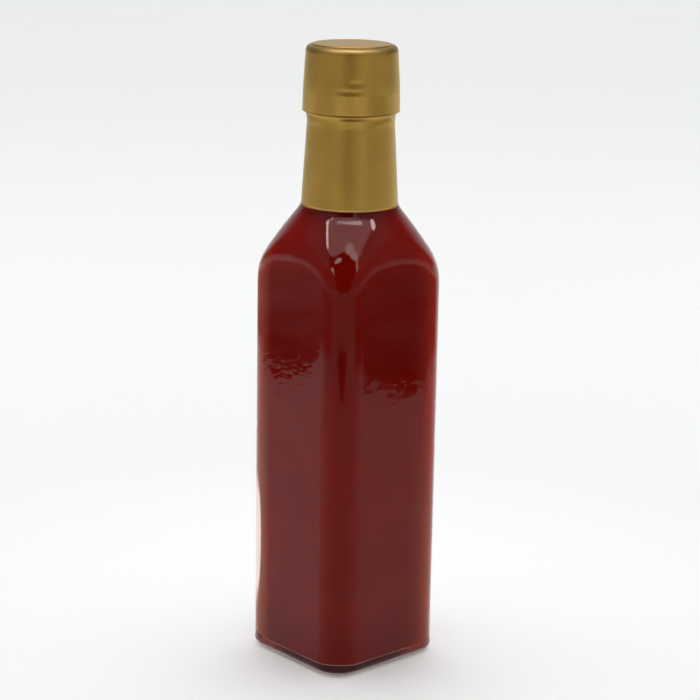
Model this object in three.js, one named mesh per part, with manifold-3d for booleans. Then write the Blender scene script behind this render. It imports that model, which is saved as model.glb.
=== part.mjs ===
// Square glass vinegar bottle, full, with a gold capsule shrunk over its cap and neck.
// Millimetres, +Z up, origin at the middle of the base, flat sides facing X and Y.

import * as THREE from "three";
import { mergeVertices } from "three/addons/utils/BufferGeometryUtils.js";
import Module from "manifold-3d";

const wasm = await Module();
wasm.setup();

// Driving sizes
const SIDE = 48; // across opposite flat sides of the body
const HEIGHT = 204.7; // floor to the top of the capsule's disc
const WALL = 3; // glass on the sides and the shoulder
const BASE = 2.6; // glass under the vinegar
const GAP = 0.3; // clearance between neighbouring pieces

// Fineness of round shapes
const TURN_STEPS = 48; // steps round a turned shape, with one on each diagonal
const CURVE_STEPS = 5; // steps along a curve of an outline, doubled on arcs
const CORNER_STEPS = 5; // steps round an upright corner, doubled on arcs
const HEEL_STEPS = 4; // steps round the foot

// Rounding of the square body, outside and in the cavity
const CORNER_RADIUS = 9.25;
const CAVITY_CORNER_RADIUS = 8;
const HEEL_RADIUS = 3;
const CAVITY_HEEL_RADIUS = 3;

// Dome pressed up into the base
const PUSH_UP_RADIUS = 17;
const PUSH_UP_DEPTH = 3;

// Shoulder: a cone that blends into the upright corners
const SHOULDER_ANGLE = THREE.MathUtils.degToRad(36.8); // between the cone and upright
const SHOULDER_KNEE = 133.5; // height where the cone's line would meet the corner
const SHOULDER_BLEND = 22.5; // radius between the corner and the cone
const CORNER_REACH = SIDE / Math.SQRT2 - CORNER_RADIUS * (Math.SQRT2 - 1);
const SHOULDER_REACH = CORNER_REACH + 0.1; // just clear of the upright corners
const SHOULDER_CENTRE = new THREE.Vector2(
  SHOULDER_REACH - SHOULDER_BLEND,
  SHOULDER_KNEE - SHOULDER_BLEND * Math.tan(SHOULDER_ANGLE / 2),
);

// Neck, hidden under the capsule
const BORE_RADIUS = 9.5;
const MOUTH = HEIGHT - 5; // height of the glass lip
const VINEGAR_LEVEL = 168;

// Capsule: sleeve on the neck, widest at its foot and slimmest at its waist
const FOIL = 0.5; // wall of the sleeve
const SLEEVE_FOOT = new THREE.Vector2(15.8, 152.7);
const SLEEVE_BULGE = new THREE.Vector2(15.35, 161); // steers the curve of its side
const SLEEVE_WAIST = new THREE.Vector2(14.2, 179);
const SEAT_HEIGHT = SLEEVE_FOOT.y - GAP; // glass ledge that the foot stands over
const SEAT_RADIUS = SHOULDER_REACH - (SEAT_HEIGHT - SHOULDER_KNEE) * Math.tan(SHOULDER_ANGLE);

// Capsule: cap with a band round its lower edge
const BAND_UNDERSIDE = new THREE.Vector2(14.8, 182.9); // where the sleeve meets the band
const BAND_FLARE = BAND_UNDERSIDE.y - 1; // height that steers the flare under the band
const BAND_BOTTOM = new THREE.Vector2(15.75, 183.2);
const BAND_TOP = new THREE.Vector2(15.57, 189.8);
const CAP_BOTTOM = new THREE.Vector2(15.35, 190.1);
const CAP_SHOULDER = new THREE.Vector2(14.9, 200.5);
const CAP_EDGE = new THREE.Vector2(14.65, HEIGHT - 0.9); // steers the rounded upper edge

// Capsule: disc let into the top
const RIM_RADIUS = 12.9; // inner edge of the rim round the disc
const RIM_DROP = 0.3; // rim below the disc's face
const DISC_DEPTH = 0.6;
const DISC_BEVEL = 0.2;

// Closed surface to solid: shared corners are merged and flat triangles on the axis dropped
function solid(surface) {
  surface.deleteAttribute("normal");
  surface.deleteAttribute("uv");
  const merged = mergeVertices(surface);
  const corners = merged.index.array;
  const triangles = [];
  for (let i = 0; i < corners.length; i += 3) {
    const [a, b, c] = corners.slice(i, i + 3);
    if (a !== b && b !== c && c !== a) triangles.push(a, b, c);
  }
  const mesh = new wasm.Mesh({
    numProp: 3,
    vertProperties: new Float32Array(merged.attributes.position.array),
    triVerts: new Uint32Array(triangles),
  });
  return new wasm.Manifold(mesh);
}

// Solid turned from an outline of radius and height that starts and ends on the axis
function turned(path) {
  const surface = new THREE.LatheGeometry(path.getPoints(CURVE_STEPS), TURN_STEPS);
  return solid(surface.rotateX(Math.PI / 2));
}

function roundedSquare(side, radius) {
  const shape = new THREE.Shape();
  const centre = side / 2 - radius;
  const quarter = Math.PI / 2;
  for (const [index, [x, y]] of [[1, 1], [-1, 1], [-1, -1], [1, -1]].entries()) {
    shape.absarc(centre * x, centre * y, radius, index * quarter, (index + 1) * quarter);
  }
  return shape;
}

// Square column with rounded corners and a rounded foot, taller than the bottle
function column(side, corner, heel, bottom) {
  const surface = new THREE.ExtrudeGeometry(roundedSquare(side, corner), {
    depth: HEIGHT,
    curveSegments: CORNER_STEPS,
    bevelThickness: heel,
    bevelSize: heel,
    bevelOffset: -heel,
    bevelSegments: HEEL_STEPS,
  });
  return solid(surface.translate(0, 0, bottom + heel));
}

// Turned shoulder set in by inset, from under the floor up to a radius on its cone,
// with a straight neck of that radius on it where the neck's top is higher
function shoulder(inset, topRadius, neckTop = 0) {
  const blend = SHOULDER_BLEND - inset;
  const coneStart = SHOULDER_CENTRE.x + blend * Math.cos(SHOULDER_ANGLE);
  const coneFoot = SHOULDER_CENTRE.y + blend * Math.sin(SHOULDER_ANGLE);
  const coneTop = coneFoot + (coneStart - topRadius) / Math.tan(SHOULDER_ANGLE);
  const path = new THREE.Path();
  path.moveTo(0, -BASE);
  path.lineTo(SHOULDER_CENTRE.x + blend, -BASE);
  path.absarc(SHOULDER_CENTRE.x, SHOULDER_CENTRE.y, blend, 0, SHOULDER_ANGLE);
  const top = Math.max(coneTop, neckTop);
  path.lineTo(topRadius, coneTop);
  path.lineTo(topRadius, top);
  path.lineTo(0, top);
  return turned(path);
}

// Dome that stands up into the base from under it
function pushUp() {
  const path = new THREE.Path();
  path.moveTo(0, -BASE);
  path.lineTo(PUSH_UP_RADIUS, -BASE);
  path.lineTo(PUSH_UP_RADIUS, 0);
  path.quadraticCurveTo(PUSH_UP_RADIUS / 2, PUSH_UP_DEPTH, 0, PUSH_UP_DEPTH);
  return turned(path);
}

// Inside of the bottle, set in by a further clearance, filled up to a height
function cavity(clearance, top) {
  const inset = WALL + clearance;
  const box = column(
    SIDE - 2 * inset,
    CAVITY_CORNER_RADIUS - clearance,
    CAVITY_HEEL_RADIUS - clearance,
    BASE + clearance,
  );
  return box
    .intersect(shoulder(inset, BORE_RADIUS - clearance, top))
    .subtract(pushUp().translate([0, 0, BASE + clearance]));
}

// Neck that follows the sleeve's side, set in by inset, from a height below the sleeve
function neck(inset, bottom, top) {
  const path = new THREE.Path();
  path.moveTo(0, bottom);
  path.lineTo(SLEEVE_FOOT.x - inset, bottom);
  path.lineTo(SLEEVE_FOOT.x - inset, SLEEVE_FOOT.y);
  path.quadraticCurveTo(
    SLEEVE_BULGE.x - inset,
    SLEEVE_BULGE.y,
    SLEEVE_WAIST.x - inset,
    SLEEVE_WAIST.y,
  );
  path.lineTo(SLEEVE_WAIST.x - inset, top);
  path.lineTo(0, top);
  return turned(path);
}

function bottle() {
  return column(SIDE, CORNER_RADIUS, HEEL_RADIUS, 0)
    .intersect(shoulder(0, SEAT_RADIUS))
    .add(neck(FOIL + GAP, SHOULDER_KNEE, MOUTH))
    .subtract(cavity(0, HEIGHT))
    .subtract(pushUp());
}

function capsule() {
  const path = new THREE.Path();
  path.moveTo(0, SLEEVE_FOOT.y);
  path.lineTo(SLEEVE_FOOT.x, SLEEVE_FOOT.y);
  path.quadraticCurveTo(SLEEVE_BULGE.x, SLEEVE_BULGE.y, SLEEVE_WAIST.x, SLEEVE_WAIST.y);
  path.quadraticCurveTo(SLEEVE_WAIST.x, BAND_FLARE, BAND_UNDERSIDE.x, BAND_UNDERSIDE.y);
  for (const point of [BAND_BOTTOM, BAND_TOP, CAP_BOTTOM, CAP_SHOULDER]) {
    path.lineTo(point.x, point.y);
  }
  path.quadraticCurveTo(CAP_EDGE.x, CAP_EDGE.y, RIM_RADIUS, HEIGHT - RIM_DROP);
  path.lineTo(RIM_RADIUS, HEIGHT - DISC_DEPTH - GAP);
  path.lineTo(0, HEIGHT - DISC_DEPTH - GAP);
  return turned(path).subtract(neck(FOIL, SLEEVE_FOOT.y - BASE, MOUTH + GAP));
}

function disc() {
  const radius = RIM_RADIUS - GAP;
  const path = new THREE.Path();
  path.moveTo(0, HEIGHT - DISC_DEPTH);
  path.lineTo(radius, HEIGHT - DISC_DEPTH);
  path.lineTo(radius, HEIGHT - DISC_BEVEL);
  path.lineTo(radius - DISC_BEVEL, HEIGHT);
  path.lineTo(0, HEIGHT);
  return turned(path);
}

function piece(name, body, material) {
  const { vertProperties, triVerts } = body.getMesh();
  const geometry = new THREE.BufferGeometry();
  geometry.setAttribute("position", new THREE.BufferAttribute(vertProperties, 3));
  geometry.setIndex(new THREE.BufferAttribute(triVerts, 1));
  geometry.computeVertexNormals();
  const mesh = new THREE.Mesh(geometry, new THREE.MeshStandardMaterial(material));
  mesh.name = name;
  return mesh;
}

const clearGlass = { color: 0xdfe4e0, roughness: 0.05, transparent: true, opacity: 0.35 };
const redVinegar = { color: 0x5c1f1c, roughness: 0.1 };
const satinGold = { color: 0x8c7337, roughness: 0.4, metalness: 0.9 };

const vinegarBottle = new THREE.Group();
vinegarBottle.add(
  piece("bottle", bottle(), clearGlass),
  piece("vinegar", cavity(GAP, VINEGAR_LEVEL), redVinegar),
  piece("capsule", capsule(), satinGold),
  piece("capsule_disc", disc(), satinGold),
);

export default vinegarBottle;
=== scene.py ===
import math

import bpy
import numpy as np
from mathutils import Matrix, Vector


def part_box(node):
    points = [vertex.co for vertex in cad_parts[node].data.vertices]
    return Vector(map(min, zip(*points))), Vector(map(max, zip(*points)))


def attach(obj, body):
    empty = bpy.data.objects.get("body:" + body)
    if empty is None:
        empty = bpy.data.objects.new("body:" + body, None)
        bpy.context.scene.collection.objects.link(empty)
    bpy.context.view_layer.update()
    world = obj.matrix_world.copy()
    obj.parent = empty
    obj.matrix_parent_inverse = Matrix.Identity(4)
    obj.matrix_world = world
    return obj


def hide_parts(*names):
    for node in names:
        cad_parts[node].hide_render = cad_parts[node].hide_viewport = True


# Square glass vinegar bottle with a gold capsule, dressed for a plain studio view.
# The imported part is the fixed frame. Each of its nodes is replaced by a finer mesh of the same form
# with a procedural material. Lengths are metres, +Z is up, the bottle's flat sides face X and Y.

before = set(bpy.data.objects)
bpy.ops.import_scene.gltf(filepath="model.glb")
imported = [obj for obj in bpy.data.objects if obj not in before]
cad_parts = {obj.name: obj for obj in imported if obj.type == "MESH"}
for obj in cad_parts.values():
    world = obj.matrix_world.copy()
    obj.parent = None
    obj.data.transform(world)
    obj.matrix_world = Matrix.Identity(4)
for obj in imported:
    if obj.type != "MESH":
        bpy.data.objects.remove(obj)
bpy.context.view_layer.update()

MM = 0.001
UP = Vector((0, 0, 1))

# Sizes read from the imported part
BOTTLE_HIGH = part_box("bottle")[1]
VINEGAR_LOW, VINEGAR_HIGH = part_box("vinegar")
CAPSULE_LOW, CAPSULE_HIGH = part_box("capsule")
DISC_LOW, DISC_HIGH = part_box("capsule_disc")
SOLID_GAP = 0.3 * MM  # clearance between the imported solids
HALF_SIDE = BOTTLE_HIGH.x
MOUTH = BOTTLE_HIGH.z
VINEGAR_LEVEL = VINEGAR_HIGH.z
TOP = DISC_HIGH.z
WALL = HALF_SIDE - VINEGAR_HIGH.x - SOLID_GAP
BASE = VINEGAR_LOW.z - SOLID_GAP

# Glass body
CORNER = 9.25 * MM
CAVITY_CORNER = 8 * MM
HEEL = 3 * MM
CAVITY_HEEL = 3 * MM
DOME_RADIUS = 17 * MM
DOME_DEPTH = 3 * MM
BORE = 9.5 * MM
BITE = 0.15 * MM  # how far the vinegar reaches into the wall

# Lower part of the back left corner, where the glass is thicker
THICK_CORNER_AT = math.radians(225)
THICK_CORNER_SPREAD = math.radians(9)
THICK_CORNER_MIDDLE = 37 * MM
THICK_CORNER_HALF = 27 * MM
THICK_CORNER_DEPTH = 1.1 * MM

# Shoulder: a cone, barrelled very slightly, blended into the upright corners and into the neck
CONE_ANGLE = math.radians(36.8)
CONE_START = math.radians(34.2)
CONE_BARREL = 5.4  # change of slope for each metre up, halved
KNEE = 133.5 * MM
BLEND = 22.5 * MM
CORNER_REACH = HALF_SIDE * math.sqrt(2) - CORNER * (math.sqrt(2) - 1)
REACH = CORNER_REACH + 0.1 * MM  # just clear of the upright corners
BLEND_RADIUS_AT = REACH - BLEND
BLEND_HEIGHT = KNEE - BLEND * math.tan(CONE_ANGLE / 2)
ARCH_FILLET = 4 * MM  # over the middle of a flat side
CORNER_FILLET = 1.3 * MM  # over an upright corner
NECK_FILLET = 2.0 * MM
SHOULDER_FROM = 120 * MM  # rings are close together from here
SHOULDER_TO = 157 * MM  # to here

# Capsule
FOIL = 0.25 * MM
FOIL_GAP = 0.03 * MM  # between the foil and the neck
SLEEVE_FOOT = (CAPSULE_HIGH.x, CAPSULE_LOW.z)
SLEEVE_BULGE = (15.35 * MM, 161 * MM)  # steers the curve of its side
SLEEVE_WAIST = (14.2 * MM, 179 * MM)
LIP = 0.16 * MM
LIP_WIDEST = 0.25 * MM  # above the sleeve's foot
LIP_HEIGHT = 0.6 * MM
BAND_UNDERSIDE = (14.8 * MM, 182.9 * MM)
BAND_FLARE = (SLEEVE_WAIST[0], BAND_UNDERSIDE[1] - 1 * MM)  # steers the flare under the band
BAND_BOTTOM = (15.75 * MM, 183.2 * MM)
BAND_TOP = (15.57 * MM, 189.6 * MM)
CAP_BOTTOM = (15.5 * MM, 192 * MM)
CAP_SHOULDER = (14.87 * MM, 202.1 * MM)
CAP_EDGE = (14.78 * MM, TOP - 0.4 * MM)  # steers the rounded upper edge
RIM = (DISC_HIGH.x + SOLID_GAP, TOP - 0.3 * MM)
CAP_ROUNDING = 0.15 * MM
ROOF_DEPTH = 2 * MM  # from the disc down to the closed end of the capsule's inside
DISC_GAP = 0.1 * MM
DISC_BEVEL = 0.25 * MM

# Dents of the capsule's front: degrees to the right of the camera, height, half width in degrees,
# half height, depth
DENTS = [
    (-2, 190.9 * MM, 14, 0.7 * MM, 0.2 * MM),
    (4, 182.5 * MM, 17, 0.6 * MM, 0.45 * MM),
    (7, 193.5 * MM, 8, 0.9 * MM, 0.15 * MM),
]
BAND_PRESS = 0.9 * MM  # how far the band's lower edge is pressed in at the front
BAND_PRESS_TURN = 65  # half width of that, in degrees

# Fineness of the meshes
FLAT_STEPS = 36  # across a flat side
CORNER_STEPS = 20  # round an upright corner
SIDE_STEPS = (40, 96, 14)  # below, on and above the shoulder
HEEL_STEPS = 8
VINEGAR_HEEL_STEPS = 10
DOME_STEPS = 14
CAPSULE_TURNS = 200
CAPSULE_STEP = 0.3 * MM  # longest step along its outline
LINING_STEPS = 30
DISC_TURNS = 120
DISC_STEP = 1.0 * MM

# Camera, from the photo
CAMERA_AZIMUTH = math.radians(48.264)
CAMERA_DISTANCE = 675.83 * MM
CAMERA_HEIGHT = 276.56 * MM
CAMERA_ASIDE = 0.97 * MM
CAMERA_PITCH = math.radians(14.337)
CAMERA_ROLL = math.radians(0.984)
FOCAL_PIXELS = 2111.3
PHOTO_PIXELS = 700
SENSOR = 36.0
TOWARDS_CAMERA = Vector((math.sin(CAMERA_AZIMUTH), -math.cos(CAMERA_AZIMUTH), 0))
CAMERA_RIGHT = Vector((math.cos(CAMERA_AZIMUTH), math.sin(CAMERA_AZIMUTH), 0))

# Studio
FLOOR_SIZE = 20.0  # half of its side
FLOOR_LEVEL = -0.1 * MM  # just clear of the glass
CLOTH_LEVEL = 0.6 * MM
WEDGE_LEVEL = 0.7 * MM  # above the cloths
CEILING = 0.75  # height of the lamp that the glass mirrors
SKY_RADIUS = 8.0
ROSY = (1, 0.8, 0.78)  # colour of that lamp

# Colours
VINEGAR_DARK = (0.192, 0.004, 0.002)
VINEGAR_LIGHT = (0.22, 0.006, 0.003)
# Painted light under the vinegar
UNDERSIDE_PAINTED_LIGHT = (0.4, 0.06, 0.05)
# Painted highlight round the vinegar's foot
FOOT_PAINTED_HIGHLIGHT = (0.5, 0.3, 0.27)
# Painted light through the vinegar's side corners
RIGHT_CORNER_PAINTED_LIGHT = (0.2, 0.03, 0.012)
LEFT_CORNER_PAINTED_LIGHT = (0.2, 0.055, 0.027)
# Painted highlight: a pale streak in the vinegar
SLIVER_PAINTED_HIGHLIGHT = (0.95, 0.75, 0.7)
# Stippled foot: painted contact shade at its bottom, then its own pale grey
STIPPLE_PAINTED_SHADE = (0.12, 0.1, 0.09)
STIPPLE_PALE = (0.65, 0.6, 0.58)
GOLD_DARK = (0.42, 0.249, 0.043)
GOLD_LIGHT = (0.46, 0.274, 0.048)
# Painted shade over the capsule's rim, dimming its highlight
GOLD_RIM_PAINTED_SHADE = (0.23, 0.2, 0.078)


# Outlines

def smooth_min(a, b, width):
    """The lower of two values, rounded over the given width where they meet."""
    share = np.clip(0.5 + 0.5 * (b - a) / width, 0, 1)
    return b + (a - b) * share - width * share * (1 - share)


def smooth_max(a, b, width):
    """The higher of two values, rounded over the given width where they meet."""
    return -smooth_min(-a, -b, width)


def square_reach(angles, half, corner):
    """Distance from the axis to a square outline with round corners, in each direction."""
    turn = np.abs((angles + math.pi / 4) % (math.pi / 2) - math.pi / 4)
    flat = half / np.cos(turn)
    centre = half - corner
    span = centre * (np.cos(turn) + np.sin(turn))
    rounded = span + np.sqrt(np.maximum(span**2 - 2 * centre**2 + corner**2, 0))
    return np.where(half * np.tan(turn) <= centre, flat, rounded)


def outline_angles():
    """Directions that divide the flats and the round corners of the body evenly."""
    centre = HALF_SIDE - CORNER
    flat = np.arctan(np.linspace(-centre, centre, FLAT_STEPS, endpoint=False) / HALF_SIDE)
    bend = np.linspace(0, math.pi / 2, CORNER_STEPS, endpoint=False)
    round_corner = np.arctan2(centre + CORNER * np.sin(bend), centre + CORNER * np.cos(bend))
    quarter = np.concatenate([flat, round_corner])
    return np.concatenate([quarter + k * math.pi / 2 for k in range(4)])


def turn_from(angles, middle):
    """How far each direction is turned from a middle one, between minus and plus half a turn."""
    return (angles - middle + math.pi) % (2 * math.pi) - math.pi


def curve_points(start, steer, end, steps):
    """Points of a curve from start to end that bends towards steer, without its last point."""
    t = np.linspace(0, 1, steps, endpoint=False)[:, None]
    start, steer, end = np.array(start), np.array(steer), np.array(end)
    return (1 - t) ** 2 * start + 2 * t * (1 - t) * steer + t**2 * end


def rounded_path(points, cut, steps=4):
    """A path through the points with each inner corner rounded off over the given cut."""
    points = [np.array(p, float) for p in points]
    path = [points[0][None, :]]
    for before, here, after in zip(points, points[1:], points[2:]):
        to_before = before - here
        to_after = after - here
        near = min(cut, 0.45 * np.linalg.norm(to_before), 0.45 * np.linalg.norm(to_after))
        start = here + to_before / np.linalg.norm(to_before) * near
        end = here + to_after / np.linalg.norm(to_after) * near
        path.append(np.vstack([curve_points(start, here, end, steps), end]))
    path.append(points[-1][None, :])
    return np.vstack(path)


def resample(path, step):
    """The path again, with points no further apart than step."""
    dense = [path[:1]]
    for a, b in zip(path, path[1:]):
        count = max(1, math.ceil(np.linalg.norm(b - a) / step))
        dense.append(a + (b - a) * np.linspace(0, 1, count + 1)[1:, None])
    return np.vstack(dense)


# Meshes

def rings_from(radius, angles, heights):
    """Points of rings with a radius for each height and direction."""
    radius = np.broadcast_to(radius, (len(heights), len(angles)))
    flat = np.stack([np.cos(angles), np.sin(angles)], axis=-1)
    points = np.empty(radius.shape + (3,))
    points[..., :2] = radius[..., None] * flat
    points[..., 2] = np.asarray(heights)[:, None]
    return points


def link_mesh(name, points, faces, material):
    """An object of the scene with a mesh of the given points and faces."""
    mesh = bpy.data.meshes.new(name)
    mesh.from_pydata(points, [], faces)
    mesh.materials.append(material)
    piece = bpy.data.objects.new(name, mesh)
    bpy.context.scene.collection.objects.link(piece)
    return piece


def mesh_from_rings(name, rings, material):
    """A smooth skin over stacked rings, shut by a point on the axis at each end."""
    rows, columns = rings.shape[:2]
    index = np.arange(rows * columns).reshape(rows, columns)
    low, high = index[:-1], index[1:]
    quads = np.stack([low, np.roll(low, -1, axis=1), np.roll(high, -1, axis=1), high], axis=-1)
    faces = quads.reshape(-1, 4).tolist()
    first, last = rows * columns, rows * columns + 1
    ends = [[0, 0, rings[0, :, 2].mean()], [0, 0, rings[-1, :, 2].mean()]]
    points = np.vstack([rings.reshape(-1, 3), ends])
    for j in range(columns):
        k = (j + 1) % columns
        faces.append([first, index[0, k], index[0, j]])
        faces.append([last, index[-1, j], index[-1, k]])
    piece = link_mesh(name, points.tolist(), faces, material)
    piece.data.validate()
    piece.data.shade_smooth()
    return piece


def dress(piece, node):
    """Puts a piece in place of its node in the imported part."""
    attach(piece, "root")
    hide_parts(node)


# Bottle and vinegar

def sleeve_radius(heights):
    """Outer radius of the capsule's sleeve at each height."""
    t = np.linspace(0, 1, 60)
    weights = np.stack([(1 - t) ** 2, 2 * t * (1 - t), t**2])
    points = weights.T @ np.array([SLEEVE_FOOT, SLEEVE_BULGE, SLEEVE_WAIST])
    return np.interp(heights, points[:, 1], points[:, 0])


def shoulder_radius(heights, inset):
    """Radius of the turned shoulder, set in by inset: upright, then an arc, then the cone."""
    radius = BLEND - inset
    arc_rise = radius * math.sin(CONE_START)
    rise = np.clip(heights - BLEND_HEIGHT, 0, arc_rise)
    arc = BLEND_RADIUS_AT + np.sqrt(radius**2 - rise**2)
    above = np.maximum(heights - BLEND_HEIGHT - arc_rise, 0)
    return arc - above * math.tan(CONE_START) - CONE_BARREL * above**2


def body_radius(angles, heights, inset, half, corner, neck_radius):
    """Radius of the body's side: square column, shoulder and neck, rounded where they meet."""
    column = square_reach(angles, half, corner)[None, :]
    turned = smooth_max(shoulder_radius(heights, inset), neck_radius, NECK_FILLET)[:, None]
    from_corner = np.cos(2 * angles) ** 2
    fillet = CORNER_FILLET + (ARCH_FILLET - CORNER_FILLET) * from_corner
    return smooth_min(column, turned, fillet[None, :])


def thicker_corner(angles, heights):
    """How much the cavity stays back at the thick corner, for each height and direction."""
    across = np.exp(-((turn_from(angles, THICK_CORNER_AT) / THICK_CORNER_SPREAD) ** 2))
    upward = np.maximum(1 - ((heights - THICK_CORNER_MIDDLE) / THICK_CORNER_HALF) ** 2, 0)
    return THICK_CORNER_DEPTH * upward[:, None] * across[None, :]


def heel_rings(angles, half, corner, heel, bottom, steps):
    """Rings round the foot, from its flat underside up to the side."""
    rings = []
    for bend in np.linspace(0, math.pi / 2, steps, endpoint=False):
        inset = heel * (1 - math.sin(bend))
        height = bottom + heel * (1 - math.cos(bend))
        reach = square_reach(angles, half - inset, corner - inset)
        rings.append(rings_from(reach[None, :], angles, [height])[0])
    return np.array(rings)


def dome_rings(angles, bottom):
    """Rings of the dome that is pressed up into the base, from its top to its edge."""
    shares = np.linspace(0.02, 1, DOME_STEPS)
    heights = bottom + DOME_DEPTH * (1 - shares) * (1 + shares)
    return rings_from(DOME_RADIUS * shares[:, None], angles, heights)


def body_heights(start, end):
    """Heights up the side, close together where the shoulder bends."""
    below, on, above = SIDE_STEPS
    lower = np.linspace(start, SHOULDER_FROM, below, endpoint=False)
    middle = np.linspace(SHOULDER_FROM, SHOULDER_TO, on, endpoint=False)
    upper = np.linspace(SHOULDER_TO, end, above)
    return np.concatenate([lower, middle, upper])


def outer_rings(angles):
    """Outside of the glass, from the dome under it up to the mouth."""
    heights = body_heights(HEEL, MOUTH)
    neck = sleeve_radius(heights) - FOIL - FOIL_GAP
    radius = body_radius(angles, heights, 0, HALF_SIDE, CORNER, neck)
    side = rings_from(radius, angles, heights)
    heel = heel_rings(angles, HALF_SIDE, CORNER, HEEL, 0, HEEL_STEPS)
    return np.concatenate([dome_rings(angles, 0), heel, side])


def cavity_rings(angles, bite, top, heel_steps):
    """Inside of the glass, widened by bite, from the dome in its base up to a height."""
    half = HALF_SIDE - WALL + bite
    corner = CAVITY_CORNER + bite
    heel = CAVITY_HEEL + bite
    bottom = BASE - bite
    heights = body_heights(bottom + heel, top)
    radius = body_radius(angles, heights, WALL - bite, half, corner, BORE + bite)
    side = rings_from(radius - thicker_corner(angles, heights), angles, heights)
    foot = heel_rings(angles, half, corner, heel, bottom, heel_steps)
    return np.concatenate([dome_rings(angles, bottom), foot, side])


def make_bottle(material):
    angles = outline_angles()
    inside = cavity_rings(angles, 0, MOUTH, HEEL_STEPS)
    rings = np.concatenate([outer_rings(angles), inside[::-1]])
    dress(mesh_from_rings("bottle_glass", rings, material), "bottle")


def make_vinegar(material):
    rings = cavity_rings(outline_angles(), BITE, VINEGAR_LEVEL, VINEGAR_HEEL_STEPS)
    dress(mesh_from_rings("vinegar_fill", rings, material), "vinegar")


# Capsule

def capsule_outline():
    """Outside of the capsule from its foot to the recess for the disc."""
    radius, height = SLEEVE_FOOT
    foot = np.array([
        (radius - FOIL, height),
        (radius + 0.5 * LIP, height),
        (radius + LIP, height + LIP_WIDEST),
        (radius + 0.5 * LIP, height + LIP_HEIGHT),
    ])
    sleeve = curve_points(SLEEVE_FOOT, SLEEVE_BULGE, SLEEVE_WAIST, steps=24)
    flare = curve_points(SLEEVE_WAIST, BAND_FLARE, BAND_UNDERSIDE, steps=8)
    corners = [BAND_UNDERSIDE, BAND_BOTTOM, BAND_TOP, CAP_BOTTOM, CAP_SHOULDER]
    edges = rounded_path(corners, CAP_ROUNDING)
    crown = curve_points(CAP_SHOULDER, CAP_EDGE, RIM, steps=14)
    recess = np.array([RIM, (RIM[0] - DISC_GAP, DISC_LOW.z)])
    return np.vstack([foot, sleeve[1:], flare, edges, crown[1:], recess])


def front_share(angles, turn, half_turn):
    """Share of a mark on the front, all at its turn to the right of the camera and none away from it."""
    front = math.atan2(TOWARDS_CAMERA.y, TOWARDS_CAMERA.x)
    side = turn_from(angles, front + math.radians(turn))
    return np.exp(-((side / math.radians(half_turn)) ** 4))


def dent_depth(angles, heights):
    """How far the foil is pressed in at each height and direction."""
    band_share = (BAND_TOP[1] - heights) / (BAND_TOP[1] - BAND_BOTTOM[1])
    just_below = 1.02  # share just past the band's lower edge
    on_band = (band_share > 0) & (band_share <= just_below)
    pressed = np.where(on_band, band_share, 0)
    depth = BAND_PRESS * pressed[:, None] * front_share(angles, 0, BAND_PRESS_TURN)[None, :]
    for turn, height, half_turn, half_height, deep in DENTS:
        upward = np.exp(-(((heights - height) / half_height) ** 2))
        depth += deep * upward[:, None] * front_share(angles, turn, half_turn)[None, :]
    return depth


def make_capsule(material):
    angles = np.linspace(0, 2 * math.pi, CAPSULE_TURNS, endpoint=False)
    heights = np.linspace(SLEEVE_WAIST[1], SLEEVE_FOOT[1], LINING_STEPS)
    lining = np.stack([sleeve_radius(heights) - FOIL, heights], axis=-1)
    roof = np.array([(SLEEVE_WAIST[0] - FOIL, DISC_LOW.z - ROOF_DEPTH)])
    inside = np.vstack([roof, lining[:-1]])
    outside = resample(capsule_outline(), CAPSULE_STEP)
    dented = outside[:, :1] - dent_depth(angles, outside[:, 1])
    rings = np.concatenate([
        rings_from(inside[:, :1], angles, inside[:, 1]),
        rings_from(dented, angles, outside[:, 1]),
    ])
    dress(mesh_from_rings("gold_capsule", rings, material), "capsule")


def make_disc(material):
    radius = RIM[0] - DISC_GAP
    middle = 0.5 * MM  # radius of the rings next to the axis
    edge = rounded_path([(radius, DISC_LOW.z), (radius, TOP), (middle, TOP)], DISC_BEVEL)
    outline = resample(np.vstack([(middle, DISC_LOW.z), edge]), DISC_STEP)
    angles = np.linspace(0, 2 * math.pi, DISC_TURNS, endpoint=False)
    rings = rings_from(outline[:, :1], angles, outline[:, 1])
    dress(mesh_from_rings("gold_disc", rings, material), "capsule_disc")


# Nodes of materials

def new_material(name):
    material = bpy.data.materials.new(name)
    material.use_nodes = True
    material.node_tree.nodes.clear()
    return material, material.node_tree


def add_node(tree, kind, links=None, **values):
    """A shader node with the given input values, and links from other nodes' sockets."""
    made = tree.nodes.new(kind)
    for name, value in values.items():
        made.inputs[name.replace("_", " ")].default_value = value
    for name, socket in (links or {}).items():
        tree.links.new(socket, made.inputs[name])
    return made


def close_tree(tree, shader):
    """Makes a shader the surface of its material."""
    add_node(tree, "ShaderNodeOutputMaterial", {"Surface": shader.outputs[0]})


def mix_shaders(tree, share, first, second):
    """A share of the second shader in the first."""
    return add_node(tree, "ShaderNodeMixShader", {0: share, 1: first.outputs[0], 2: second.outputs[0]})


def object_coordinates(tree):
    return tree.nodes.new("ShaderNodeTexCoord").outputs["Object"]


def noise(tree, vector, scale, detail=3.0, **values):
    """Uneven values between about 0.3 and 0.7."""
    made = add_node(tree, "ShaderNodeTexNoise", {"Vector": vector}, Scale=scale, Detail=detail, **values)
    return made.outputs["Fac"]


def map_range(tree, value, before, after):
    """Maps a value from one range to another and keeps it inside the second."""
    made = add_node(
        tree,
        "ShaderNodeMapRange",
        {"Value": value},
        From_Min=before[0],
        From_Max=before[1],
        To_Min=after[0],
        To_Max=after[1],
    )
    return made.outputs["Result"]


def spread(tree, value, low, high):
    """Maps a noise value, mostly between 0.3 and 0.7, to the range from low to high."""
    return map_range(tree, value, (0.3, 0.7), (low, high))


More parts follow.
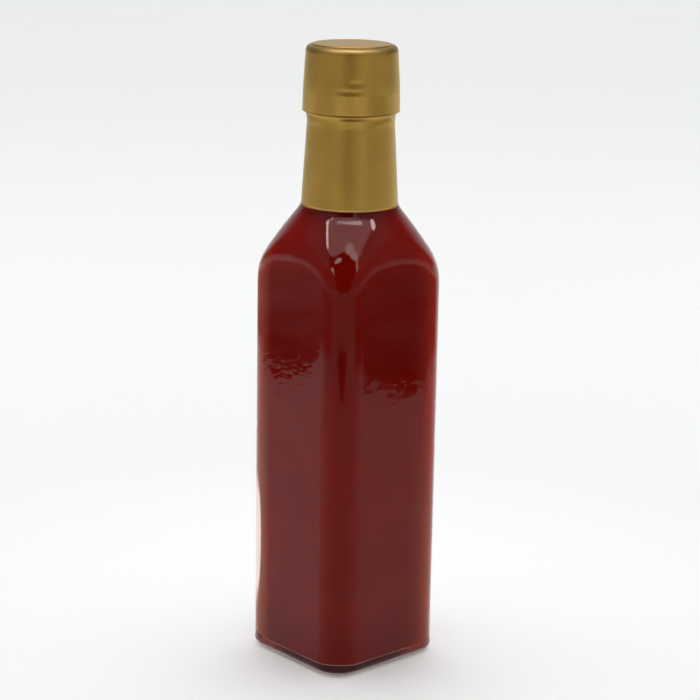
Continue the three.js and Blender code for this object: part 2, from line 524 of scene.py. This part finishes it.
def combine(tree, operation, first, second=0):
    """Adds, multiplies or compares two values, each a socket or a number."""
    made = tree.nodes.new("ShaderNodeMath")
    made.operation = operation
    for socket, value in zip(made.inputs, (first, second)):
        if isinstance(value, (int, float)):
            socket.default_value = value
        else:
            tree.links.new(value, socket)
    return made.outputs[0]


def product(tree, *values):
    """All the values multiplied."""
    total = values[0]
    for value in values[1:]:
        total = combine(tree, "MULTIPLY", total, value)
    return total


def along(tree, vector, direction):
    """How far a vector reaches along a fixed direction."""
    made = add_node(tree, "ShaderNodeVectorMath", {0: vector})
    made.operation = "DOT_PRODUCT"
    made.inputs[1].default_value = direction
    return made.outputs["Value"]


def flat_distance(tree, vector):
    """Distance from the upright axis."""
    level = add_node(tree, "ShaderNodeVectorMath", {0: vector})
    level.operation = "MULTIPLY"
    level.inputs[1].default_value = (1, 1, 0)
    reach = add_node(tree, "ShaderNodeVectorMath", {0: level.outputs[0]})
    reach.operation = "LENGTH"
    return reach.outputs["Value"]


def near_turn(tree, place, turn, whole, none):
    """Share of places near a turn round the axis: all within one angle of it, none beyond another."""
    direction = Vector((math.cos(math.radians(turn)), math.sin(math.radians(turn)), 0))
    cosine = combine(tree, "DIVIDE", along(tree, place, direction), flat_distance(tree, place))
    limits = (math.cos(math.radians(none)), math.cos(math.radians(whole)))
    return map_range(tree, cosine, limits, (0, 1))


def ramp(tree, value, stops):
    """Colours along a value, given as pairs of place and colour."""
    made = add_node(tree, "ShaderNodeValToRGB", {"Fac": value})
    elements = made.color_ramp.elements
    while len(elements) < len(stops):
        elements.new(0.5)
    for element, (place, colour) in zip(elements, stops):
        element.position = place
        element.color = (*colour, 1)
    return made.outputs["Color"]


def shade_colour(tree, colour, shade):
    """A colour multiplied by a value."""
    made = add_node(tree, "ShaderNodeVectorMath", {0: colour, 1: shade})
    made.operation = "MULTIPLY"
    return made.outputs[0]


def mix_colour(tree, share, colour, other):
    """A colour with a share of another, fixed one."""
    made = add_node(tree, "ShaderNodeMixRGB", {"Fac": share, "Color1": colour}, Color2=(*other, 1))
    return made.outputs[0]


def bump(tree, height, depth):
    made = add_node(tree, "ShaderNodeBump", {"Height": height}, Strength=1.0, Distance=depth)
    return made.outputs["Normal"]


# Glass

def foot_share(tree, place, height):
    """How matt the glass is: stippled round the foot, and faintly so where it stands, where the dark
    stipple is a painted contact shade.
    """
    standing = (0.05 * MM, 0.2 * MM)
    low = map_range(tree, height, (1.3 * MM, 1.9 * MM), (0.55, 0))
    beyond = map_range(tree, flat_distance(tree, place), (19 * MM, 20.5 * MM), (0, 1))
    edge = product(tree, low, beyond, map_range(tree, height, standing, (0, 1)))
    return combine(tree, "MAXIMUM", edge, map_range(tree, height, standing, (0.25, 0)))


def matt_foot(tree, height):
    """Stippled glass, pale above, and dark at the bottom as a painted contact shade."""
    upward = combine(tree, "DIVIDE", height, 2 * MM)
    grey = ramp(tree, upward, [(0.3, STIPPLE_PAINTED_SHADE), (0.5, STIPPLE_PALE)])
    return add_node(tree, "ShaderNodeBsdfDiffuse", {"Color": grey})


def clear_glass():
    """Clear moulded glass, very slightly wavy and stippled where it stands, with painted contact shade
    at its very bottom, that lamps shine through.
    """
    material, tree = new_material("clear_glass")
    place = object_coordinates(tree)
    height = along(tree, place, UP)
    waves = noise(tree, place, 70, detail=1.0)
    clear = add_node(
        tree,
        "ShaderNodeBsdfPrincipled",
        {"Normal": bump(tree, waves, 0.02 * MM)},
        Roughness=0.0,
        Specular_Tint=(0.285, 0.285, 0.285, 1),
        Base_Color=(0.98, 0.985, 0.98, 1),
        IOR=1.5,
        Transmission_Weight=1.0,
    )
    glass = mix_shaders(tree, foot_share(tree, place, height), clear, matt_foot(tree, height))
    passing = add_node(tree, "ShaderNodeBsdfTransparent", Color=(0.95, 0.96, 0.95, 1))
    shadow_ray = tree.nodes.new("ShaderNodeLightPath").outputs["Is Shadow Ray"]
    close_tree(tree, mix_shaders(tree, shadow_ray, glass, passing))
    return material


# Vinegar

def painted_vinegar_shade(tree, height, bottom):
    """Painted shade and light on the vinegar: darker near the base and in the upper body, lighter in the
    shoulder.
    """
    body = map_range(tree, height, (88 * MM, 105 * MM), (1.0, 0.86))
    shoulder = map_range(tree, height, (128 * MM, 140 * MM), (0.0, 0.14))
    return product(tree, bottom, combine(tree, "ADD", body, shoulder))


def paint_underside_light(tree, colour, place, height):
    """Painted light: a lighter middle under the vinegar, and a painted highlight as a pale line round
    its foot.
    """
    aside = flat_distance(tree, place)
    # Painted light under the middle of the vinegar
    under = map_range(tree, aside, (17 * MM, 20 * MM), (1, 0))
    low = map_range(tree, height, (BASE + 2 * MM, BASE + 5 * MM), (1, 0))
    colour = mix_colour(tree, product(tree, under, low), colour, UNDERSIDE_PAINTED_LIGHT)
    # Painted highlight: a pale line round the vinegar's foot
    foot = map_range(tree, height, (BASE + 0.2 * MM, BASE + 0.8 * MM), (0.8, 0))
    beyond = map_range(tree, aside, (19 * MM, 20 * MM), (0, 1))
    return mix_colour(tree, product(tree, foot, beyond), colour, FOOT_PAINTED_HIGHLIGHT)


def paint_corner_light(tree, colour, place, height, bottom):
    """Painted light: browner vinegar low in the corners on the right and on the left of the camera's
    view, for light through the thinner liquid there.
    """
    right = product(
        tree,
        near_turn(tree, place, 42, 6, 18),
        map_range(tree, height, (50 * MM, 80 * MM), (1, 0.2)),
        bottom,
    )
    left = product(
        tree,
        near_turn(tree, place, 226, 4, 14),
        map_range(tree, height, (60 * MM, 100 * MM), (1, 0.5)),
        bottom,
    )
    # Painted light in the side corners
    colour = mix_colour(tree, right, colour, RIGHT_CORNER_PAINTED_LIGHT)
    return mix_colour(tree, left, colour, LEFT_CORNER_PAINTED_LIGHT)


def paint_sliver_highlight(tree, colour, place, height):
    """A painted highlight: a narrow pale streak in the vinegar beside the thicker corner of the glass.
    """
    from_middle = combine(tree, "ABSOLUTE", combine(tree, "SUBTRACT", height, THICK_CORNER_MIDDLE))
    ends = (0.6 * THICK_CORNER_HALF, 0.9 * THICK_CORNER_HALF)
    beside = map_range(tree, from_middle, ends, (1, 0))
    sliver_highlight = product(tree, beside, near_turn(tree, place, 220, 1.6, 3.4))
    return mix_colour(tree, sliver_highlight, colour, SLIVER_PAINTED_HIGHLIGHT)


def red_vinegar():
    """Dark red vinegar, slightly cloudy, with painted light and shade: browner where the side corners
    let light through it, lighter underneath, a pale line and a pale streak as highlights, darker near
    the base and in the upper body.
    """
    material, tree = new_material("red_vinegar")
    place = object_coordinates(tree)
    height = along(tree, place, UP)
    # Painted shade: the vinegar darker towards the base
    bottom = map_range(tree, height, (3 * MM, 22 * MM), (0.75, 1.0))
    clouds = noise(tree, place, 45, detail=4.0)
    colour = ramp(tree, clouds, [(0.3, VINEGAR_DARK), (0.7, VINEGAR_LIGHT)])
    colour = shade_colour(tree, colour, painted_vinegar_shade(tree, height, bottom))
    colour = paint_underside_light(tree, colour, place, height)
    colour = paint_corner_light(tree, colour, place, height, bottom)
    colour = paint_sliver_highlight(tree, colour, place, height)
    shader = add_node(
        tree,
        "ShaderNodeBsdfPrincipled",
        {"Base Color": colour},
        Roughness=0.6,
        Specular_IOR_Level=0.0,
        Subsurface_Weight=1.0,
        Subsurface_Radius=(1.0, 0.3, 0.2),
        Subsurface_Scale=15 * MM,
    )
    close_tree(tree, shader)
    return material


# Gold

def painted_rim_shade(tree, place):
    """Share of the capsule's upper edge, painted darker and paler as shade that dims its highlight, and
    made rougher.
    """
    crown = map_range(tree, along(tree, place, UP), (CAP_SHOULDER[1], CAP_EDGE[1]), (0, 1))
    on_rim = map_range(tree, flat_distance(tree, place), (RIM[0], RIM[0] + 0.2 * MM), (0, 1))
    return product(tree, crown, on_rim)


def gold_foil():
    """Satin gold film under clear lacquer, faintly uneven from shrinking, rougher at its rim and painted
    darker there as shade.
    """
    material, tree = new_material("gold_foil")
    place = object_coordinates(tree)
    patches = noise(tree, place, 120, detail=2.0)
    grain = noise(tree, place, 500, detail=2.0)
    # Painted shade over the rim, which is also rougher
    shaded_rim = painted_rim_shade(tree, place)
    colour = ramp(tree, patches, [(0.3, GOLD_DARK), (0.7, GOLD_LIGHT)])
    satin = combine(tree, "ADD", spread(tree, grain, 0.33, 0.37), product(tree, shaded_rim, 0.25))
    shader = add_node(
        tree,
        "ShaderNodeBsdfPrincipled",
        {
            "Base Color": mix_colour(tree, shaded_rim, colour, GOLD_RIM_PAINTED_SHADE),
            "Roughness": satin,
            "Normal": bump(tree, patches, 0.03 * MM),
        },
        Metallic=1.0,
        Specular_Tint=(0.95, 0.9, 0.68, 1),
        Coat_Weight=0.36,
        Coat_Roughness=0.25,
    )
    close_tree(tree, shader)
    return material


# Floor, light and camera

def pale_floor():
    """Pale table top with painted light: lighter where the bottle stands and far away."""
    material, tree = new_material("pale_floor")
    farthest = 2.0
    # Painted light: lighter near the bottle and far away
    painted_light_greys = [(0.05, 0.98), (0.22, 0.88), (0.6, 0.92), (farthest, 0.985)]
    cool = (0.99, 1.01, 1.005)
    stops = [(distance / farthest, [grey * tint for tint in cool]) for distance, grey in painted_light_greys]
    place = object_coordinates(tree)
    outward = map_range(tree, flat_distance(tree, place), (0, farthest), (0, 1))
    fibres = spread(tree, noise(tree, place, 3), 0.995, 1.005)
    mottled = shade_colour(tree, ramp(tree, outward, stops), fibres)
    close_tree(tree, add_node(tree, "ShaderNodeBsdfPrincipled", {"Base Color": mottled}, Roughness=0.7))
    return material


def make_floor():
    quarters = [(-1, -1), (1, -1), (1, 1), (-1, 1)]
    corners = [(x * FLOOR_SIZE, y * FLOOR_SIZE, FLOOR_LEVEL) for x, y in quarters]
    link_mesh("floor", corners, [(0, 1, 2, 3)], pale_floor())


def around(right, front, height):
    """A point given as the camera sees it: to the right, towards the camera and up."""
    return CAMERA_RIGHT * right + TOWARDS_CAMERA * front + UP * height


def make_camera():
    back = TOWARDS_CAMERA * math.cos(CAMERA_PITCH) + UP * math.sin(CAMERA_PITCH)
    level = back.cross(CAMERA_RIGHT)
    right = CAMERA_RIGHT * math.cos(CAMERA_ROLL) + level * math.sin(CAMERA_ROLL)
    axes = Matrix((right, back.cross(right), back)).transposed().to_4x4()
    data = bpy.data.cameras.new("camera")
    data.sensor_width = SENSOR
    data.lens = FOCAL_PIXELS / PHOTO_PIXELS * SENSOR
    data.clip_start = 0.01
    data.clip_end = 100
    camera = bpy.data.objects.new("camera", data)
    place = around(CAMERA_ASIDE, CAMERA_DISTANCE, CAMERA_HEIGHT)
    camera.matrix_world = Matrix.Translation(place) @ axes
    bpy.context.scene.collection.objects.link(camera)
    bpy.context.scene.camera = camera


def make_world():
    """Soft light from all round, stronger from above and from behind the bottle."""
    world = bpy.data.worlds.new("studio")
    world.use_nodes = True
    tree = world.node_tree
    direction = tree.nodes.new("ShaderNodeTexCoord").outputs["Generated"]
    above = map_range(tree, along(tree, direction, UP), (0, 1), (0.545, 1.03))
    behind = map_range(tree, along(tree, direction, TOWARDS_CAMERA), (-1, 1), (1.7, 0.3))
    background = tree.nodes["Background"]
    background.inputs["Color"].default_value = (1, 1, 1, 1)
    tree.links.new(product(tree, above, behind), background.inputs["Strength"])
    bpy.context.scene.world = world


def make_light(name, place, target, size, power):
    """A soft lamp that isn't seen itself, nor mirrored."""
    data = bpy.data.lights.new(name, "AREA")
    data.shape = "RECTANGLE"
    data.size, data.size_y = size
    data.energy = power
    light = bpy.data.objects.new(name, data)
    light.location = place
    light.rotation_euler = (target - place).to_track_quat("-Z", "Y").to_euler()
    light.visible_camera = False
    light.visible_glossy = False
    bpy.context.scene.collection.objects.link(light)


def make_lamps():
    make_light("overhead", around(0, -0.35, 1.1), around(0, -0.35, 0), (0.7, 0.7), 1.8)
    for side in (-1.2, 1.2):
        make_light("side", around(side, -0.25, 0.16), around(0, 0, 0.1), (1.0, 0.3), 4.0)


# What the glass and the foil mirror

def only_reflected(piece):
    """Keeps a stage piece out of everything but reflections."""
    piece.visible_camera = False
    piece.visible_diffuse = False
    piece.visible_transmission = False
    piece.visible_volume_scatter = False
    piece.visible_shadow = False


def glow(name, strength, colour=(1, 1, 1)):
    material, tree = new_material(name)
    close_tree(tree, add_node(tree, "ShaderNodeEmission", Color=(*colour, 1), Strength=strength))
    return material


def curled_edge(tree, place, distance, bend):
    """Distance from the axis, shifted so that one distance runs in curls and bends outwards."""
    wander = 0.05
    most_bend = 0.06
    aside = add_node(tree, "ShaderNodeSeparateXYZ", {"Vector": place}).outputs["Y"]
    bent = combine(tree, "MINIMUM", product(tree, aside, aside, bend), most_bend)
    stretched = add_node(tree, "ShaderNodeMapping", {"Vector": place}, Scale=(70, 110, 1))
    curls = noise(tree, stretched.outputs[0], 1.0, Roughness=0.55, Distortion=2.5)
    shift = spread(tree, curls, -wander, wander)
    return combine(tree, "ADD", combine(tree, "SUBTRACT", distance, bent), shift)


def ragged_dark(name, edge, bend, near_cover, far_cover):
    """Dark cloth round the bottle whose inner edge wanders in curls and bends away from the middle."""
    softness = 0.005
    thins_from = edge + 0.07
    material, tree = new_material(name)
    place = object_coordinates(tree)
    distance = flat_distance(tree, place)
    inside = curled_edge(tree, place, distance, bend)
    solid = map_range(tree, inside, (edge, edge + softness), (0, 1))
    thinned = map_range(tree, distance, (thins_from, thins_from + 0.1), (near_cover, far_cover))
    patches = spread(tree, noise(tree, place, 22), 0.8, 1.1)
    cover = combine(tree, "MINIMUM", product(tree, solid, product(tree, thinned, patches)), 1)
    dark = add_node(tree, "ShaderNodeEmission", Color=(1, 1, 1, 1), Strength=0.03)
    clear = tree.nodes.new("ShaderNodeBsdfTransparent")
    close_tree(tree, mix_shaders(tree, cover, clear, dark))
    return material


def make_cloth(name, turns, inner, outer, material):
    """A flat cloth round part of the bottle, between two turns counted from the camera to the right."""
    middle = math.radians(sum(turns) / 2)
    half_turn = math.radians(turns[1] - turns[0]) / 2
    steps = 24
    angles = np.linspace(-half_turn, half_turn, steps)
    arc = np.stack([np.cos(angles), np.sin(angles), np.zeros(steps)], axis=-1)
    points = np.vstack([inner * arc, outer * arc]).tolist()
    faces = [(k, k + 1, steps + k + 1, steps + k) for k in range(steps - 1)]
    cloth = link_mesh(name, points, faces, material)
    ahead = around(math.sin(middle), math.cos(middle), 0)
    axes = Matrix((ahead, UP.cross(ahead), UP)).transposed().to_4x4()
    cloth.matrix_world = Matrix.Translation(UP * CLOTH_LEVEL) @ axes
    only_reflected(cloth)


def make_patch(name, places, height, material):
    """A level patch whose outline is a row of places to the right and in front."""
    points = [around(*place, height) for place in places]
    only_reflected(link_mesh(name, points, [tuple(range(len(points)))], material))


def make_strip(name, line, width, height, material):
    """A level strip of the given width that follows a line of places to the right and in front."""
    places = [Vector(place) for place in line]
    points = []
    for index, place in enumerate(places):
        run = places[min(index + 1, len(places) - 1)] - places[max(index - 1, 0)]
        side = Vector((-run.y, run.x)).normalized() * width / 2
        points += [around(*(place - side), height), around(*(place + side), height)]
    faces = [(2 * k, 2 * k + 1, 2 * k + 3, 2 * k + 2) for k in range(len(places) - 1)]
    only_reflected(link_mesh(name, points, faces, material))


def oval(middle, half_sizes, steps=24):
    """Outline of an oval round a place to the right and in front."""
    turns = [2 * math.pi * step / steps for step in range(steps)]
    (right, front), (half_width, half_depth) = middle, half_sizes
    return [(right + half_width * math.cos(t), front + half_depth * math.sin(t)) for t in turns]


def make_dark_cloths():
    """Dark cloth round the pale table and a dark wedge on it in front."""
    left = ragged_dark("left_cloth", 0.385, 120, 1.0, 0.7)
    right = ragged_dark("right_cloth", 0.355, 90, 1.0, 0.9)
    front = ragged_dark("front_cloth", 0.47, 0, 0.25, 0.25)
    far = ragged_dark("far_cloth", 0.7, 0, 0.25, 0.25)
    right_far = ragged_dark("right_far_cloth", 0.7, 0, 0.2, 0.2)
    left_turns = (-152, -40)
    right_turns = (40, 124)
    make_cloth("left_cloth", left_turns, 0.3, 0.8, left)
    make_cloth("right_cloth", right_turns, 0.27, 0.8, right)
    make_cloth("front_cloth", (-40, 40), 0.4, 0.9, front)
    make_cloth("far_front_cloth", (-19, 19), 1.8, 7, far)
    make_cloth("far_left_cloth", left_turns, 0.8, 5, far)
    make_cloth("far_right_cloth", right_turns, 0.8, 5, right_far)
    wedge = [(-0.05, 0.36), (-0.01, 0.36), (0.06, 0.43), (0.07, 0.455), (-0.13, 0.455), (-0.12, 0.42)]
    make_patch("front_wedge", wedge, WEDGE_LEVEL, glow("dark_wedge", 0.03))


def make_mirrored_lamp():
    """A panel overhead with brighter edges, and spots and tails in front of it."""
    left_line = [(-0.385, 0.1), (-0.365, 0.16), (-0.345, 0.21), (-0.325, 0.262), (-0.305, 0.305)]
    right_line = [(0.44, 0.11), (0.36, 0.2), (0.29, 0.275), (0.2, 0.35)]
    front_line = [(-0.29, 0.35), (-0.22, 0.385), (0.2, 0.385)]
    back_line = [(0.44, -0.05), (-0.385, -0.05)]
    panel = left_line + front_line + right_line[::-1] + back_line
    make_patch("panel", panel, CEILING + 0.01, glow("panel", 4.4, ROSY))

    edge_glow = glow("edge_glow", 32, (1, 0.68, 0.65))
    make_strip("left_edge", left_line, 0.03, CEILING, edge_glow)
    make_strip("right_edge", [(0.425, 0.11), (0.4, 0.145), (0.37, 0.18)], 0.03, CEILING, edge_glow)
    top_line = [(-0.19, 0.231), (-0.085, 0.256), (0.02, 0.264), (0.12, 0.254), (0.2, 0.231)]
    make_strip("top_edge", top_line, 0.04, CEILING, glow("top_glow", 20, ROSY))

    front_glow = glow("front_glow", 10, ROSY)
    make_patch("front_spot_left", oval((-0.15, 0.415), (0.055, 0.022)), CEILING, front_glow)
    make_patch("front_spot_middle", oval((0.01, 0.372), (0.07, 0.024)), CEILING, front_glow)
    make_patch("front_spot_right", oval((0.08, 0.395), (0.06, 0.022)), CEILING - 0.002, front_glow)
    tail_glow = glow("tail_glow", 8, ROSY)
    make_strip("left_tail", [(-0.25, 0.52), (-0.3, 0.7), (-0.36, 0.95)], 0.05, CEILING, tail_glow)
    make_strip("right_tail", [(0.13, 0.43), (0.15, 0.58), (0.19, 0.76)], 0.05, CEILING, tail_glow)


def sky_glow():
    """A bright backdrop behind the bottle, a grey ceiling, and dark in the middle of the front."""
    material, tree = new_material("reflected_sky")
    place = object_coordinates(tree)
    front = along(tree, place, TOWARDS_CAMERA / SKY_RADIUS)
    rise = along(tree, place, UP / SKY_RADIUS)
    off_middle = combine(tree, "ADD", along(tree, place, CAMERA_RIGHT / SKY_RADIUS), 0.07)
    backdrop = map_range(tree, front, (-0.95, -0.6), (0.55, 0.0))
    ceiling = product(
        tree,
        map_range(tree, front, (-0.25, 0.2), (0.2, 0.75)),
        map_range(tree, rise, (0.5, 0.68), (0.5, 1.0)),
    )
    not_in_front = map_range(tree, front, (0.0, 0.15), (1.0, 0.0))
    beside = map_range(tree, combine(tree, "ABSOLUTE", off_middle), (0.25, 0.3), (0.0, 1.0))
    lit = combine(tree, "MAXIMUM", not_in_front, beside)
    strength = combine(tree, "ADD", backdrop, product(tree, ceiling, lit))
    close_tree(tree, add_node(tree, "ShaderNodeEmission", {"Strength": strength}, Color=(1, 1, 1, 1)))
    return material


def make_reflected_sky():
    """Dome that reflections see instead of the world."""
    angles = np.linspace(0, 2 * math.pi, 48, endpoint=False)
    rises = np.linspace(-0.1, math.pi / 2, 24, endpoint=False)
    rings = rings_from(SKY_RADIUS * np.cos(rises)[:, None], angles, SKY_RADIUS * np.sin(rises))
    only_reflected(mesh_from_rings("reflected_sky", rings, sky_glow()))


bpy.context.scene.view_settings.view_transform = "Standard"

make_bottle(clear_glass())
make_vinegar(red_vinegar())
gold = gold_foil()
make_capsule(gold)
make_disc(gold)
make_camera()
make_floor()
make_world()
make_lamps()
make_dark_cloths()
make_mirrored_lamp()
make_reflected_sky()

bpy.context.view_layer.update()
